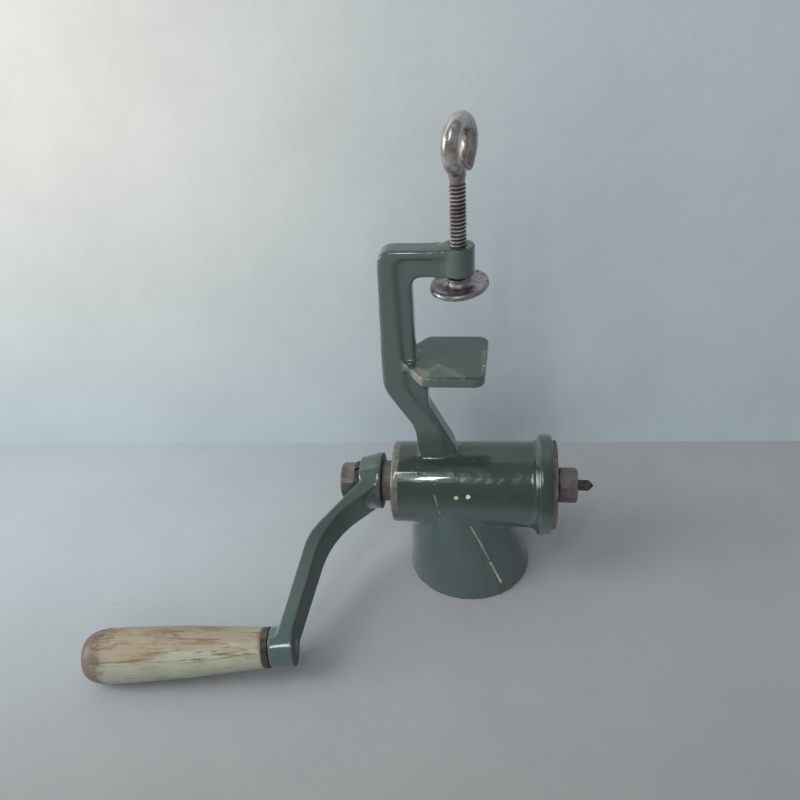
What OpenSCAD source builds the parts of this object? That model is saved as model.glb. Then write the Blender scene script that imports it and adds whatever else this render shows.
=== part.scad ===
// Hand-cranked meat grinder with a table clamp.
// It stands upside down on its hopper mouth: +Z up, +X along the barrel towards the outlet.
// The origin is the centre of the hopper mouth, on the surface that the grinder stands on.

/* [Barrel] */
// Height of the barrel axis above the hopper mouth
axis_h = 62.3; // [58:0.1:72]
// Distance from the hopper's middle to the barrel's rear end
barrel_rear = 44.4; // [42:0.1:60]
// Distance from the hopper's middle to the back of the outlet flange
barrel_front = 42.5; // [38:0.1:60]
// Outer radius of the barrel at its rear end
barrel_r_rear = 24.8; // [24:0.1:28]
// Outer radius of the barrel behind the flange
barrel_r_front = 26.3; // [25:0.1:29]
// Radius of the feed bore
bore_r = 21.5; // [19:0.1:22.5]
// Thickness of the rear wall that holds the bush
rear_wall = 8; // [6:0.1:12]
// Radius of the outlet flange
flange_r = 30.7; // [29.5:0.1:36]
// Thickness of the outlet flange
flange_t = 8.2; // [6:0.1:12]
// Radius of the knife chamber
chamber_r = 24.4; // [23:0.1:25.4]

/* [Hopper] */
// Outer radius of the hopper mouth
mouth_r = 37.5; // [34:0.1:45]
// Outer radius of the hopper where it meets the barrel axis
throat_r = 24; // [21:0.1:24.5]
// How far the throat lies towards the crank
throat_back = 10; // [0:0.1:12]
// Wall of the hopper
hopper_wall = 4; // [3:0.1:5]
// Radius of the raised casting seam
seam_r = 0.8; // [0.4:0.1:1.5]
// Place of the seam round the hopper, from the outlet side
seam_turn = -57; // [-80:1:-20]

/* [Clamp arm] */
// Offset of the clamp screw from the hopper's middle
screw_x = -3; // [-8:0.1:4]
// Height of the screw boss's upper face
boss_top = 217.2; // [210:0.1:235]
// Height of the screw boss itself
boss_h = 16; // [12:0.1:20]
// How far the screw boss stands over the arm
boss_step = 1; // [0.2:0.1:3]
// Radius of the screw boss
boss_r = 8.6; // [7.5:0.1:12]
// Clear reach from the screw axis to the inside of the arm
arm_reach = 24.2; // [21:0.1:32]
// Width of the upright arm, inside to outside
arm_w = 19.2; // [16:0.1:26]
// Width of the arm's outer band
arm_band = 12.1; // [9:0.1:14]
// Thickness of the arm's outer band
arm_t = 14; // [13:0.1:18]
// Thickness of the arm's inner rib
rib_t = 11; // [7:0.1:12]
// Depth of the outer band over the top bar
top_band = 4.4; // [3:0.1:7]

/* [Table jaw] */
// Height of the jaw's table face
jaw_z = 151.5; // [146:0.1:158]
// Thickness of the jaw plate
jaw_t = 6; // [4:0.1:9]
// Width of the jaw plate across the clamp
jaw_w = 47.8; // [40:0.1:56]
// Distance from the screw axis to the jaw's free edge
jaw_nose = 15.8; // [12:0.1:24]
// Corner radius of the jaw plate
jaw_corner = 6.5; // [2:0.1:9]
// How far the jaw's free edge runs back on the crank's resting side
jaw_skew = 1.6; // [0:0.1:4]
// Thickness of the web under the jaw
jaw_web = 7; // [5:0.1:9]

/* [Outlet] */
// Radius of the perforated plate
plate_r = 26.75; // [25.9:0.05:27.4]
// Thickness of the perforated plate
plate_t = 6; // [4:0.1:8]
// How far the plate stands out of the flange
plate_proud = 2.7; // [2:0.1:4.5]
// Radius of the holes in the plate
plate_hole_r = 2.1; // [1.5:0.1:2.4]
// Radius of the key that stops the plate turning
key_r = 1.5; // [1:0.05:1.8]
// Width across the flats of the end nut
nut_flats = 19.6; // [17:0.1:22]
// Height of the end nut
nut_h = 11.2; // [8:0.1:13]
// Thickness of the washer under the nut
nut_washer_t = 1.2; // [0.8:0.1:2]
// Radius of the stud where it carries the plate
stud_bearing_r = 6; // [5.6:0.1:6.6]
// Radius of the stud's thread
stud_thread_r = 5; // [4:0.1:5.4]
// Radius of the stud's end pin
tip_r = 3.2; // [2:0.1:3.6]
// Length of the end pin's straight part
tip_len = 7; // [3:0.1:9]
// Length of the end pin's point
tip_point = 2.8; // [2:0.1:7]
// Width across the flats of the square that drives the knife
drive_square = 10.6; // [9:0.1:11]
// Thickness of the knife
knife_t = 5.8; // [4:0.1:8]
// Reach of the knife's blades
knife_r = 23.6; // [20:0.1:24]

/* [Feed screw] */
// Radius of the journal in the rear bush
journal_r = 10; // [9.7:0.05:10.5]
// Radius of the screw's core at the crank end
core_r_rear = 11; // [10.8:0.1:12.5]
// Radius of the screw's core at the outlet end
core_r_front = 13.5; // [11:0.1:15]
// Turns of the flight
flight_turns = 3; // [2:0.25:4]
// Thickness of the flight at its edge
flight_edge = 2.4; // [1.5:0.1:4]
// Thickness of the flight at the core
flight_root = 5.2; // [4:0.1:7]
// Outer radius of the rear bush
bush_r = 12.4; // [11.6:0.05:14]
// How far the bush stands out of the barrel
bush_out = 6.5; // [4:0.1:10]
// Thickness of the thrust washer
thrust_t = 1.5; // [1:0.1:3]

/* [Crank] */
// Length of the crank hub along the barrel axis
hub_len = 13.8; // [12:0.1:20]
// Radius of the hub's outer face
hub_r_out = 14.6; // [14:0.1:16]
// Radius of the hub's face at the barrel
hub_r_in = 17.5; // [16:0.1:20]
// Width of the hub's rim at the barrel
hub_rim = 3; // [1:0.1:6]
// Width across the flats of the square that drives the crank
crank_square = 13.4; // [12:0.05:13.6]
// Distance from the barrel axis to the grip's pin at the boss
crank_throw = 105.5; // [95:0.1:130]
// Thickness of the crank arm
crank_t = 8; // [6:0.1:10]
// Distance from the barrel axis to where the arm leaves the hub
crank_root = 9; // [6:0.1:12]
// Distance from the barrel axis to the bend of the arm's outer face
bend_out = 41.8; // [38:0.1:50]
// Distance from the barrel axis to the bend of the arm's inner face
bend_in = 35.3; // [30:0.1:38]
// How far the outer bend lies behind the hub's face at the barrel
bend_back = 40; // [34:0.1:46]
// Radius of the outer bend
bend_r_out = 35; // [20:0.5:60]
// Radius of the inner bend
bend_r_in = 54; // [30:0.5:70]
// How far the arm's end lies behind the outer bend
end_back = 10.3; // [4:0.1:16]
// Half width of the crank arm at its outer end
crank_end_r = 11; // [8:0.1:12]
// Radius of the grip boss
grip_boss_r = 11.2; // [10.5:0.1:14]
// Length of the grip boss
grip_boss_len = 13.8; // [12.5:0.1:20]
// Width across the flats of the crank bolt
bolt_flats = 20.1; // [17:0.1:22]
// Height of the crank bolt's head
bolt_head_h = 8.7; // [6:0.1:10]
// Radius of the crank bolt's thread
bolt_r = 5; // [4:0.1:5.2]
// Length of the crank bolt under its head
bolt_len = 24; // [16:0.1:30]
// Thickness of the lock washer
lock_t = 3.2; // [1.5:0.1:4]
// Radius of the lock washer
lock_r = 11.6; // [9:0.1:12]

/* [Grip] */
// Outward lean of the grip from the barrel's direction
grip_splay = 5.9; // [0:0.1:9]
// Length of the wooden grip
grip_len = 101.5; // [92:0.5:125]
// Radius of the grip at the crank
grip_r_neck = 11.2; // [9:0.1:12]
// Radius of the grip where it is fattest
grip_r_belly = 15.3; // [12.5:0.1:17]
// Radius of the grip at its free end
grip_r_end = 9; // [8.2:0.1:11]
// Distance from the crank to the fattest place
grip_belly = 88; // [70:0.5:90]
// Radius of the pin that the grip turns on
spindle_r = 3.2; // [2.5:0.05:4]
// Thickness of the washer between grip and crank
grip_washer_t = 3.2; // [0.8:0.1:4]

/* [Clamp screw] */
// Radius of the clamp screw's thread
thread_r = 4.3; // [3.8:0.05:5]
// Length of the plain neck between the thread and the eye
neck_len = 0.9; // [0.5:0.1:12]
// Radius of the plain neck under the eye
neck_r = 3.8; // [3.2:0.05:4.2]
// Radius of the bar that forms the eye
eye_bar_r = 4.4; // [3.6:0.05:5]
// Radius of the eye at the middle of its bar
eye_r = 11; // [10.5:0.1:14]
// Distance from the screw axis to the middle of the eye
eye_shift = 3.3; // [2:0.1:5]
// Radius of the bend from the neck into the eye
eye_bend_r = 5; // [4.8:0.1:10]
// Height of the middle of the eye
eye_z = 266.6; // [265:0.1:285]
// How far the eye's bar runs on past its outer side
eye_past = 35; // [20:1:45]
// Length of the eye's straight end
eye_tail = 8; // [4:0.1:8]
// Turn of the eye about the screw axis
eye_turn = 68; // [0:1:90]

/* [Swivel pad] */
// Radius of the swivel pad
pad_r = 15.6; // [12:0.1:19]
// Thickness of the pad's rim
pad_rim = 3; // [2:0.1:3.6]
// Height from the pad's face to the middle of its ball
pad_seat = 3.6; // [3.4:0.1:4.4]
// Height of the pad's neck above the middle of its ball
pad_neck = 3.1; // [2.6:0.1:3.4]
// Radius of the pad's neck
pad_neck_r = 5.9; // [5.2:0.1:7]
// Radius of the ball that holds the pad
ball_r = 3.2; // [2.9:0.05:3.4]
// Radius of the ball's stem
stem_r = 2.2; // [1.6:0.05:2.4]
// Lean of the pad on its ball
pad_tilt = 7.3; // [0:0.1:8]
// Direction of the axis that the pad leans about
pad_tilt_turn = -51.7; // [-90:0.1:0]

/* [Fits] */
// Radial clearance of a running fit
run_fit = 0.05; // [0.02:0.01:0.1]
// Clearance between faces that turn against each other
face_gap = 0.1; // [0.05:0.05:0.3]
// Clearance where curved surfaces pass each other
pass_gap = 0.3; // [0.2:0.05:0.5]

/* [Hidden] */
$fn = 64;

// Stations along the barrel
flange_x = barrel_front + flange_t;
plate_x1 = flange_x + plate_proud;
plate_x0 = plate_x1 - plate_t;
knife_x1 = plate_x0 - 2 * face_gap;
knife_x0 = knife_x1 - knife_t;
screw_x1 = knife_x0 - 2 * face_gap;
chamber_x0 = screw_x1 - 1.5;
wall_x = -barrel_rear + rear_wall;
thrust_x1 = wall_x + face_gap + thrust_t;
screw_x0 = thrust_x1 + face_gap;
bush_x0 = -barrel_rear - bush_out;
hub_x1 = bush_x0 - pass_gap;
hub_x0 = hub_x1 - hub_len;
square_x0 = hub_x0 + 1;
washer_x0 = plate_x1 + 2 * face_gap;
nut_x0 = washer_x0 + nut_washer_t + face_gap / 2;
nut_x1 = nut_x0 + nut_h;
lock_x0 = hub_x0 - face_gap / 2 - lock_t;
bolt_x0 = lock_x0 - face_gap / 2;
screw_r = bore_r - pass_gap;
stud_depth = 3 * stud_thread_r;

// The hopper is a cone whose axis leans from the mouth to the throat
hopper_lean = atan(throat_back / axis_h);
hopper_len = norm([throat_back, axis_h]);
hopper_slope = (mouth_r - throat_r) / hopper_len;
hopper_below = 0.3 * mouth_r;

// The clamp arm
arm_in = screw_x - arm_reach;
arm_out = arm_in - arm_w;
boss_bottom = boss_top - boss_h;
arm_foot_z = axis_h + barrel_r_rear - 3;
bar_top = boss_top - boss_step;
leg_w = 22.6;
leg_foot_x = arm_out + 19.4;
leg_low = axis_h + 43.9;
leg_high = jaw_z - 18.2;

// The crank: its swing angle lets the grip rest on the standing surface
grip_gap = 0.4;
grip_start = grip_gap + grip_washer_t + pass_gap / 2;
belly_at = grip_start + grip_belly;
belly_throw = crank_throw + belly_at * sin(grip_splay);
rest_gap = 0.05;
crank_swing = -acos((axis_h - grip_r_belly - rest_gap) / belly_throw);
bend_x = hub_x1 - bend_back;
end_x = bend_x - end_back;
grip_boss_x = end_x - 4;

// The clamp screw and its pad
ball_z = boss_bottom - 4.2;
screw_end_z = boss_bottom - 0.1;
eye_fi = acos((eye_shift + eye_bend_r) / (eye_bend_r + eye_r));
eye_z0 = eye_z - (eye_bend_r + eye_r) * sin(eye_fi);
eye_blend = 3;
thread_top = eye_z0 - eye_blend - neck_len;
eye_start_r = max(neck_r + 0.25, eye_bar_r - 0.3);
ENAMEL = [0.25, 0.33, 0.30];
BARE = [0.45, 0.43, 0.40];
STEEL = [0.36, 0.33, 0.32];
DARK = [0.24, 0.21, 0.21];
BRASS = [0.56, 0.52, 0.40];
FIBRE = [0.45, 0.25, 0.15];
WOOD = [0.62, 0.57, 0.47];

// Points of a closed outline whose corners [x, y, radius] are rounded by arcs
function corner_arc(a, b, c, r, steps) =
    let (
        u = (a - b) / norm(a - b),
        v = (c - b) / norm(c - b),
        half = acos(u * v) / 2,
        m = (u + v) / norm(u + v),
        centre = b + m * r / sin(half),
        p = b + u * r / tan(half),
        q = b + v * r / tan(half),
        a0 = atan2(p[1] - centre[1], p[0] - centre[0]),
        a1 = atan2(q[1] - centre[1], q[0] - centre[0]),
        d = a1 - a0 > 180 ? a1 - a0 - 360 : a1 - a0 < -180 ? a1 - a0 + 360 : a1 - a0
    )
    [for (i = [0:steps]) centre + r * [cos(a0 + d * i / steps), sin(a0 + d * i / steps)]];

function rounded(corners, steps = 6) = [
    for (i = [0:len(corners) - 1])
        let (
            n = len(corners),
            a = corners[(i + n - 1) % n],
            b = corners[i],
            c = corners[(i + 1) % n]
        )
        each (b[2] > 0
            ? corner_arc([a[0], a[1]], [b[0], b[1]], [c[0], c[1]], b[2], steps)
            : [[b[0], b[1]]])
];

// Lays a shape drawn along +Z along the barrel axis, from station x
module along_barrel(x) {
    translate([x, 0, axis_h])
        rotate([0, 90, 0])
            children();
}

// Stands an outline drawn in X and Z upright, with thickness t about the middle plane
module upright(t) {
    translate([0, t / 2, 0])
        rotate([90, 0, 0])
            linear_extrude(t)
                children();
}

// Frame of the crank: X as the barrel, -Z out along the arm
module crank_frame() {
    translate([0, 0, axis_h])
        rotate([crank_swing, 0, 0])
            children();
}

// Frame of the grip: +Z along its pin, away from the crank, zero at the boss's outer face
module grip_frame() {
    crank_frame()
        translate([grip_boss_x, 0, -crank_throw])
            rotate([0, -90 - grip_splay, 0])
                children();
}

module ring(r_out, r_in, h) {
    difference() {
        cylinder(h = h, r = r_out);
        translate([0, 0, -1])
            cylinder(h = h + 2, r = r_in);
    }
}

module hexagon(flats, h) {
    corner = flats / 2 / cos(30);
    cylinder(h = h, r = corner, $fn = 6);
}

// Hexagon with both rims turned to a chamfer
module chamfered_hexagon(flats, h) {
    corner = flats / 2 / cos(30);
    cut = (corner - flats / 2) * 0.62;
    intersection() {
        hexagon(flats, h);
        union() {
            cylinder(h = cut, r1 = corner - cut * 1.6, r2 = corner);
            translate([0, 0, cut])
                cylinder(h = h - 2 * cut, r = corner);
            translate([0, 0, h - cut])
                cylinder(h = cut, r1 = corner, r2 = corner - cut * 1.6);
        }
    }
}

module square_bar(side, h) {
    translate([-side / 2, -side / 2, 0])
        cube([side, side, h]);
}

// Outside of the barrel with its outlet flange
module barrel_outside() {
    rim = 0.8;
    fillet = 4.2;
    along_barrel(0)
        rotate_extrude()
            polygon([
                [0, -barrel_rear],
                [barrel_r_rear - rim, -barrel_rear],
                [barrel_r_rear, -barrel_rear + rim],
                [barrel_r_front, barrel_front - fillet],
                for (i = [1:5]) [
                    barrel_r_front + (flange_r - rim - barrel_r_front) * (1 - cos(18 * i)),
                    barrel_front - fillet + fillet * sin(18 * i)
                ],
                [flange_r, barrel_front + rim],
                [flange_r, flange_x - rim],
                [flange_r - rim, flange_x],
                [0, flange_x]
            ]);
}

// Cone of the hopper, from below its mouth to the barrel axis, smaller by one wall for the inside
module hopper_cone(wall) {
    below = hopper_below;
    rotate([0, -hopper_lean, 0])
        translate([0, 0, -below])
            cylinder(
                h = hopper_len + below,
                r1 = mouth_r + below * hopper_slope - wall,
                r2 = throat_r - wall
            );
}

// Raised seam along one side of the hopper
module hopper_seam() {
    slope = atan(hopper_slope);
    rotate([0, -hopper_lean, 0])
        rotate([0, 0, seam_turn])
            translate([mouth_r, 0, 0])
                rotate([0, -slope, 0])
                    translate([0, 0, -hopper_below])
                        cylinder(h = hopper_len * 0.86 + hopper_below, r = seam_r, $fn = 20);
}

// Whole side outline of the clamp arm, from the barrel to the screw boss
module arm_outline() {
    polygon(rounded([
        [leg_foot_x, arm_foot_z, 0],
        [leg_foot_x - 2.3, leg_low, 16],
        [arm_out + 0.1, leg_high, 20],
        [arm_out, jaw_z, 0],
        [arm_out + 1.6, bar_top, 7],
        [screw_x, bar_top, 0],
        [screw_x, boss_bottom - 0.3, 0],
        [arm_in, boss_bottom - 0.3, 5],
        [arm_in, jaw_z - jaw_t, 0],
        [arm_in + 6, leg_high - 2, 8],
        [arm_in + 6.1, leg_high - 11.3, 10],
        [leg_foot_x + leg_w - 3, leg_low - 11.2, 12],
        [leg_foot_x + leg_w, arm_foot_z, 0]
    ]));
}

// Outer band of the clamp arm, thicker than the rib inside it
module band_outline() {
    polygon(rounded([
        [leg_foot_x, arm_foot_z, 0],
        [leg_foot_x - 2.3, leg_low, 16],
        [arm_out + 0.1, leg_high, 20],
        [arm_out, jaw_z, 0],
        [arm_out + 1.6, bar_top, 7],
        [screw_x, bar_top, 0],
        [screw_x, bar_top - top_band, 0],
        [arm_out + arm_band - 1.4, bar_top - top_band, 5],
        [arm_out + arm_band, jaw_z, 20],
        [arm_out + arm_band + 1.6, leg_high, 12],
        [leg_foot_x + leg_w * 0.57, leg_low, 16],
        [leg_foot_x + leg_w * 0.69, arm_foot_z, 0]
    ]));
}

// Plate that rests on the table, with the web that carries it
module jaw() {
    back = arm_out + arm_band - 1;
    shoulder = arm_in + 5;
    nose = screw_x + jaw_nose;
    translate([0, 0, jaw_z - jaw_t])
        linear_extrude(jaw_t)
            polygon(rounded([
                [back, -rib_t / 2, 0],
                [shoulder, -jaw_w / 2, jaw_corner],
                [nose - jaw_skew, -jaw_w / 2, jaw_corner],
                [nose, jaw_w / 2, jaw_corner],
                [shoulder, jaw_w / 2, jaw_corner],
                [back, rib_t / 2, 0]
            ]));
    upright(jaw_web)
        polygon([
            [arm_in - 4, jaw_z - jaw_t / 2],
            [nose - 8, jaw_z - jaw_t / 2],
            [nose - 10, jaw_z - jaw_t - 1.5],
            [arm_in + 9, jaw_z - jaw_t - 12],
            [arm_in - 4, jaw_z - jaw_t - 16]
        ]);
}

module body_casting() {
    key_at = plate_r + run_fit;
    color(ENAMEL)
        difference() {
            union() {
                barrel_outside();
                hopper_cone(0);
                hopper_seam();
                upright(rib_t)
                    arm_outline();
                upright(arm_t)
                    band_outline();
                jaw();
                translate([screw_x, 0, boss_bottom])
                    cylinder(h = boss_h, r = boss_r);
            }
            hopper_cone(hopper_wall);
            translate([-2 * mouth_r, -2 * mouth_r, -3 * hopper_below])
                cube([4 * mouth_r, 4 * mouth_r, 3 * hopper_below]);
            along_barrel(wall_x)
                cylinder(h = chamber_x0 - wall_x + 1, r = bore_r);
            along_barrel(chamber_x0)
                cylinder(h = plate_x0 - chamber_x0 + 1, r = chamber_r);
            along_barrel(plate_x0)
                cylinder(h = flange_x - plate_x0 + 1, r = plate_r + run_fit);
            along_barrel(-barrel_rear - 1)
                cylinder(h = rear_wall + 2, r = bush_r + run_fit);
            translate([0, 0, -key_at])
                along_barrel(barrel_front)
                    cylinder(h = flange_t + 1, r = key_r + run_fit, $fn = 32);
            translate([screw_x, 0, boss_bottom - 1])
                cylinder(h = boss_h + 2, r = thread_r + run_fit);
        }
}

module rear_bush() {
    color(BRASS)
        along_barrel(bush_x0)
            ring(bush_r, journal_r + run_fit, bush_out + rear_wall);
}

module thrust_washer() {
    color(FIBRE)
        along_barrel(wall_x + face_gap / 2)
            ring(bush_r + 5, journal_r + 2 * run_fit, thrust_t);
}

// Rows of holes round the plate, as many in each row as keep a web between them
module plate_holes() {
    web = 2 * plate_hole_r + 1.3;
    first = stud_bearing_r + 1.9 + plate_hole_r;
    last = chamber_r - 1 - plate_hole_r;
    rows = floor((last - first) / web);
    for (k = [0:rows]) {
        row_r = first + (last - first) * k / max(rows, 1);
        count = floor(360 / (2 * asin(web / 2 / row_r)));
        for (i = [0:count - 1])
            rotate([0, 0, (i + k / 2) * 360 / count])
                translate([row_r, 0, -1])
                    cylinder(h = plate_t + 2, r = plate_hole_r, $fn = 24);
    }
}

module perforated_plate() {
    rim = 0.4;
    color(DARK)
        along_barrel(plate_x0)
            difference() {
                union() {
                    cylinder(h = plate_t - rim, r = plate_r);
                    translate([0, 0, plate_t - rim])
                        cylinder(h = rim, r1 = plate_r, r2 = plate_r - rim);
                }
                translate([0, 0, -1])
                    cylinder(h = plate_t + 2, r = stud_bearing_r + run_fit);
                plate_holes();
                translate([plate_r + run_fit, 0, -1])
                    cylinder(h = plate_t + 2, r = key_r + 2 * run_fit, $fn = 32);
            }
}

module plate_key() {
    color(STEEL)
        translate([0, 0, -plate_r - run_fit])
            along_barrel(barrel_front + face_gap)
                cylinder(h = flange_t - face_gap - 0.4, r = key_r, $fn = 32);
}

// Flight wound to the left round the feed screw, closer at the outlet
module flight() {
    steps = round(32 * flight_turns);
    run = screw_x1 - screw_x0 - flight_root - 2;
    function place(f) = screw_x0 + 1 + flight_root / 2 + run * (1.25 * f - 0.25 * f * f);
    function reach(f) = screw_r - 5.5 * pow(max(0, 1 - f * 14), 2) - 3 * pow(max(0, f * 14 - 13), 2);
    function core(f) = core_r_rear - 1;
    function section(f) =
        let (
            turn = -360 * flight_turns * f,
            x = place(f),
            c = cos(turn),
            s = sin(turn),
            ri = core(f),
            ro = reach(f)
        )
        [
            [x - flight_root / 2, ri * c, ri * s],
            [x - flight_edge / 2, ro * c, ro * s],
            [x + flight_edge / 2, ro * c, ro * s],
            [x + flight_root / 2, ri * c, ri * s]
        ];
    points = [for (i = [0:steps]) each section(i / steps)];
    last = 4 * steps;
    faces = [
        [0, 1, 2, 3],
        for (i = [0:steps - 1])
            for (k = [0:3])
                let (a = 4 * i + k, b = 4 * i + (k + 1) % 4)
                each [[a, a + 4, b], [b, a + 4, b + 4]],
        [last + 3, last + 2, last + 1, last]
    ];
    translate([0, 0, axis_h])
        polyhedron(points, faces);
}

module feed_screw() {
    shoulder = 3;
    color(BARE)
        difference() {
            union() {
                along_barrel(screw_x0)
                    cylinder(h = screw_x1 - screw_x0, r1 = core_r_rear, r2 = core_r_front);
                along_barrel(screw_x0)
                    cylinder(h = shoulder, r = bush_r + 3);
                flight();
                along_barrel(hub_x1 + pass_gap / 2)
                    cylinder(h = screw_x0 - hub_x1, r = journal_r);
                along_barrel(square_x0)
                    square_bar(crank_square, hub_x1 - square_x0 + 1);
            }
            along_barrel(square_x0 - 1)
                cylinder(h = bolt_x0 + bolt_len - square_x0 + 3, r = bolt_r + run_fit);
            along_barrel(screw_x1 - stud_depth)
                cylinder(h = stud_depth + 1, r = stud_thread_r + run_fit);
        }
}

// Stud in the feed screw that drives the knife, carries the plate and holds the nut
module outlet_stud() {
    start = screw_x1 - stud_depth + face_gap;
    bearing_x0 = knife_x1 + face_gap;
    bearing_x1 = washer_x0 - face_gap / 2;
    chamfer = stud_thread_r / 10;
    color(STEEL) {
        along_barrel(0)
            rotate_extrude()
                polygon([
                    [0, start],
                    [stud_thread_r - chamfer, start],
                    [stud_thread_r, start + chamfer],
                    [stud_thread_r, bearing_x0],
                    [stud_bearing_r, bearing_x0],
                    [stud_bearing_r, bearing_x1],
                    [stud_thread_r, bearing_x1],
                    [stud_thread_r, nut_x1 - chamfer],
                    [stud_thread_r - chamfer, nut_x1],
                    [tip_r, nut_x1],
                    [tip_r, nut_x1 + tip_len],
                    [tip_r / 9, nut_x1 + tip_len + tip_point],
                    [0, nut_x1 + tip_len + tip_point]
                ]);
        along_barrel(screw_x1 + face_gap)
            square_bar(drive_square, bearing_x0 - screw_x1 - face_gap);
    }
}

// Cross-shaped knife whose blades lean forward and are hollow ground behind their edge
module knife() {
    hub = stud_bearing_r + 3.6;
    blades = 4;
    edge = 1.2;
    color(STEEL)
        along_barrel(knife_x0)
            difference() {
                union() {
                    cylinder(h = knife_t, r = hub);
                    for (i = [0:blades - 1])
                        rotate([0, 0, 360 / blades * i + 20])
                            intersection() {
                                linear_extrude(knife_t)
                                    polygon([
                                        [0, -hub * 0.62],
                                        [hub, -hub * 0.5],
                                        [knife_r * 0.8, -edge * 0.6],
                                        [knife_r + 1, edge * 1.4],
                                        [knife_r + 1, edge * 4],
                                        [knife_r * 0.7, edge * 4.2],
                                        [hub, hub * 0.66],
                                        [0, hub * 0.62]
                                    ]);
                                cylinder(h = knife_t, r = knife_r);
                            }
                }
                translate([0, 0, -1])
                    square_bar(drive_square + 2 * run_fit, knife_t + 2);
                for (i = [0:blades - 1])
                    rotate([0, 0, 360 / blades * i + 20])
                        translate([hub + 1, edge * 3.4, -1])
                            rotate([18, 0, 0])
                                cube([knife_r, knife_r, knife_t + 1]);
            }
}

module end_nut() {
    color(STEEL)
        along_barrel(nut_x0)
            difference() {
                chamfered_hexagon(nut_flats, nut_h);
                translate([0, 0, -1])
                    cylinder(h = nut_h + 2, r = stud_thread_r + run_fit);
            }
}

module nut_washer() {
    color(STEEL)
        along_barrel(washer_x0)
            ring(nut_flats / 2 - 0.3, stud_thread_r + run_fit, nut_washer_t);
}

// Tangent outline round two circles on the arm's middle line, seen along the barrel
module crank_front_outline(r0, r1, reach) {
    lean = asin((r0 - r1) / reach);
    circle(r = r0);
    translate([0, -reach])
        circle(r = r1);
    polygon([
        [r0 * cos(lean), -r0 * sin(lean)],
        [r1 * cos(lean), -reach - r1 * sin(lean)],
        [-r1 * cos(lean), -reach - r1 * sin(lean)],
        [-r0 * cos(lean), -r0 * sin(lean)]
    ]);
}

// Side outline of the cranked arm, from inside its hub to its end
module crank_side_outline() {
    sunk = 0.3;
    leave = [hub_x0, -crank_root];
    bend = [bend_x, -bend_out];
    finish = [end_x, 1 - crank_throw];
    start = leave + (leave - bend) / norm(leave - bend) * 3;
    along = (finish - bend) / norm(finish - bend);
    across = [-along[1], along[0]] * crank_t;
    inner = bend + across + along * ((-bend_in - bend[1] - across[1]) / along[1]);
    polygon(rounded([
        [start[0], 0, 0],
        concat(start, 0),
        concat(bend, bend_r_out),
        concat(finish, 0),
        concat(finish + across, 0),
        concat(inner, bend_r_in),
        [hub_x1 - sunk, -crank_root, 0],
        [hub_x1 - sunk, 0, 0]
    ], 10));
}

// The lock washer lies on a seat turned flat round the hub's outer face
module crank_arm() {
    seat_sunk = 0.1;
    seat_clear = 6;
    color(ENAMEL)
        difference() {
            union() {
                crank_frame()
                    translate([hub_x0, 0, 0])
                        rotate([0, 90, 0]) {
                            cylinder(h = hub_len - hub_rim, r1 = hub_r_out, r2 = hub_r_in);
                            translate([0, 0, hub_len - hub_rim])
                                cylinder(h = hub_rim, r = hub_r_in);
                        }
                crank_frame()
                    intersection() {
                        rotate([90, 0, 0])
                            translate([0, 0, -hub_r_in])
                                linear_extrude(2 * hub_r_in)
                                    crank_side_outline();
                        translate([hub_x1, 0, 0])
                            rotate([0, -90, 0])
                                rotate([0, 0, -90])
                                    linear_extrude(bend_back + end_back + crank_t)
                                        crank_front_outline(hub_r_out, crank_end_r, crank_throw);
                    }
                grip_frame()
                    translate([0, 0, -grip_boss_len])
                        cylinder(h = grip_boss_len, r = grip_boss_r);
            }
            crank_frame()
                translate([square_x0 - 3, 0, 0])
                    rotate([0, 90, 0])
                        rotate([0, 0, -crank_swing])
                            square_bar(crank_square + 2 * run_fit, hub_len + 6);
            crank_frame()
                translate([hub_x0 - seat_clear, 0, 0])
                    rotate([0, 90, 0])
                        cylinder(h = seat_clear + seat_sunk, r = lock_r + pass_gap);
            grip_frame()
                translate([0, 0, -grip_boss_len - 1])
                    cylinder(h = grip_boss_len + 2, r = spindle_r + run_fit);
        }
}

// Hexagonal head with a chamfered outer rim, on a plain shank
module crank_bolt() {
    corner = bolt_flats / 2 / cos(30);
    face_r = bolt_flats * 0.475;
    head_chamfer = (corner - face_r) * tan(30);
    end_chamfer = bolt_r / 5;
    color(STEEL)
        union() {
            intersection() {
                along_barrel(bolt_x0 - bolt_head_h)
                    hexagon(bolt_flats, bolt_head_h);
                along_barrel(bolt_x0)
                    rotate_extrude()
                        polygon([
                            [0, 0],
                            [corner - 0.6, 0],
                            [corner + 0.1, -0.6],
                            [corner + 0.1, head_chamfer - bolt_head_h],
                            [face_r, -bolt_head_h],
                            [0, -bolt_head_h]
                        ]);
            }
            along_barrel(bolt_x0 - 1)
                cylinder(h = bolt_len + 1 - end_chamfer, r = bolt_r);
            along_barrel(bolt_x0 + bolt_len - end_chamfer)
                cylinder(h = end_chamfer, r1 = bolt_r, r2 = bolt_r - end_chamfer);
        }
}

// Split ring whose cut runs aslant
module lock_washer() {
    slit = 1.6;
    color(DARK)
        along_barrel(lock_x0)
            difference() {
                ring(lock_r, bolt_r + 4 * run_fit, lock_t);
                rotate([0, 0, 200])
                    translate([bolt_r - 1, -slit / 2, 0])
                        rotate([24, 0, 0])
                            translate([0, 0, -3])
                                cube([lock_r, slit, lock_t + 6]);
            }
}

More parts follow.
